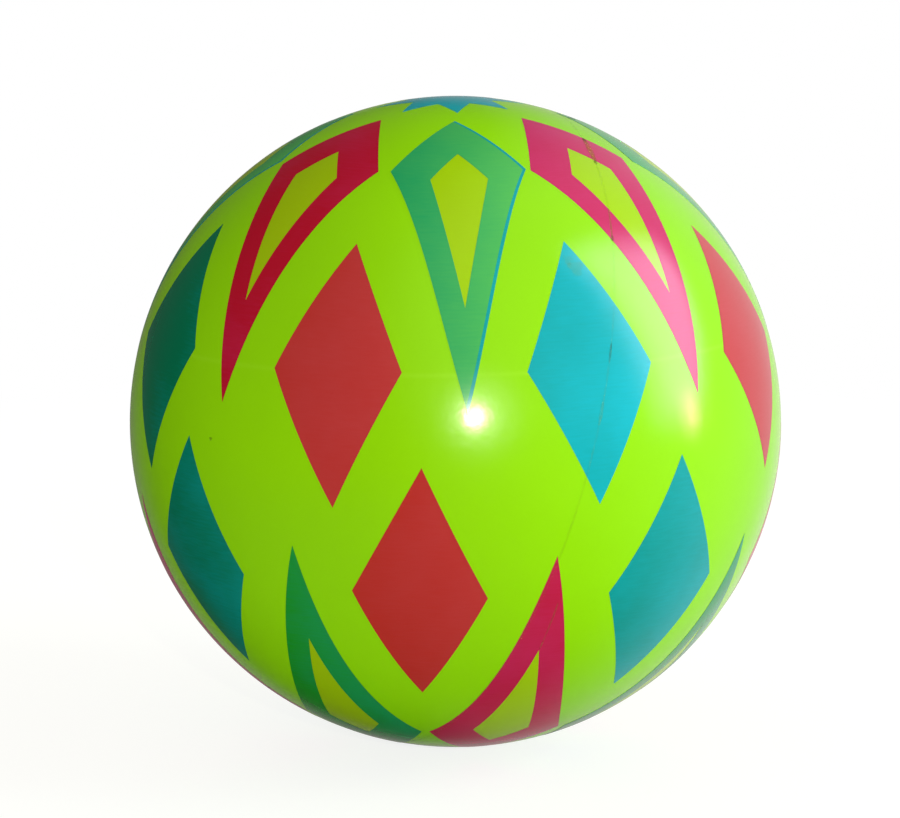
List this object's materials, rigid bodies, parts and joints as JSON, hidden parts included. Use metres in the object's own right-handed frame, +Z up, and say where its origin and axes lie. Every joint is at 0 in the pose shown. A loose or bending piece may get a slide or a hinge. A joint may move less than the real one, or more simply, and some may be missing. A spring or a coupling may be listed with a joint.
{
  "type": "play ball",
  "caption": "Inflated round vinyl play ball with a plug valve: a hollow skin, a flanged bush for an inflation needle and a plug that pulls out.",
  "frame": {"origin": "centre of the ball", "axes": "+Z up as the ball lies in the picture, through the poles of its printed pattern; +Y along the valve's axis, out of the ball, on the side away from the camera; +X to the right"},
  "size_m": [0.23, 0.2298, 0.23],
  "materials": {
    "skin_vinyl": "glossy lime green vinyl, slightly see-through",
    "valve_vinyl": "soft milky green vinyl",
    "plug_plastic": "white moulded plastic",
    "ink_turquoise": "thin glossy turquoise screen ink",
    "ink_red": "thin glossy red screen ink",
    "ink_magenta": "thin glossy magenta screen ink",
    "ink_green": "thin glossy green of yellow ink over turquoise ink",
    "ink_yellow": "thin see-through yellow ink on the green skin"
  },
  "bodies": {
    "ball": {"ball_skin": "skin_vinyl", "valve_bush": "valve_vinyl"},
    "plug": {"valve_plug": "plug_plastic"}
  },
  "joints": [
    {"name": "plug_pull", "type": "slide", "parent": "ball", "child": "plug", "axis": [0, 1, 0], "range_m": [0, 0.014]}
  ]
}
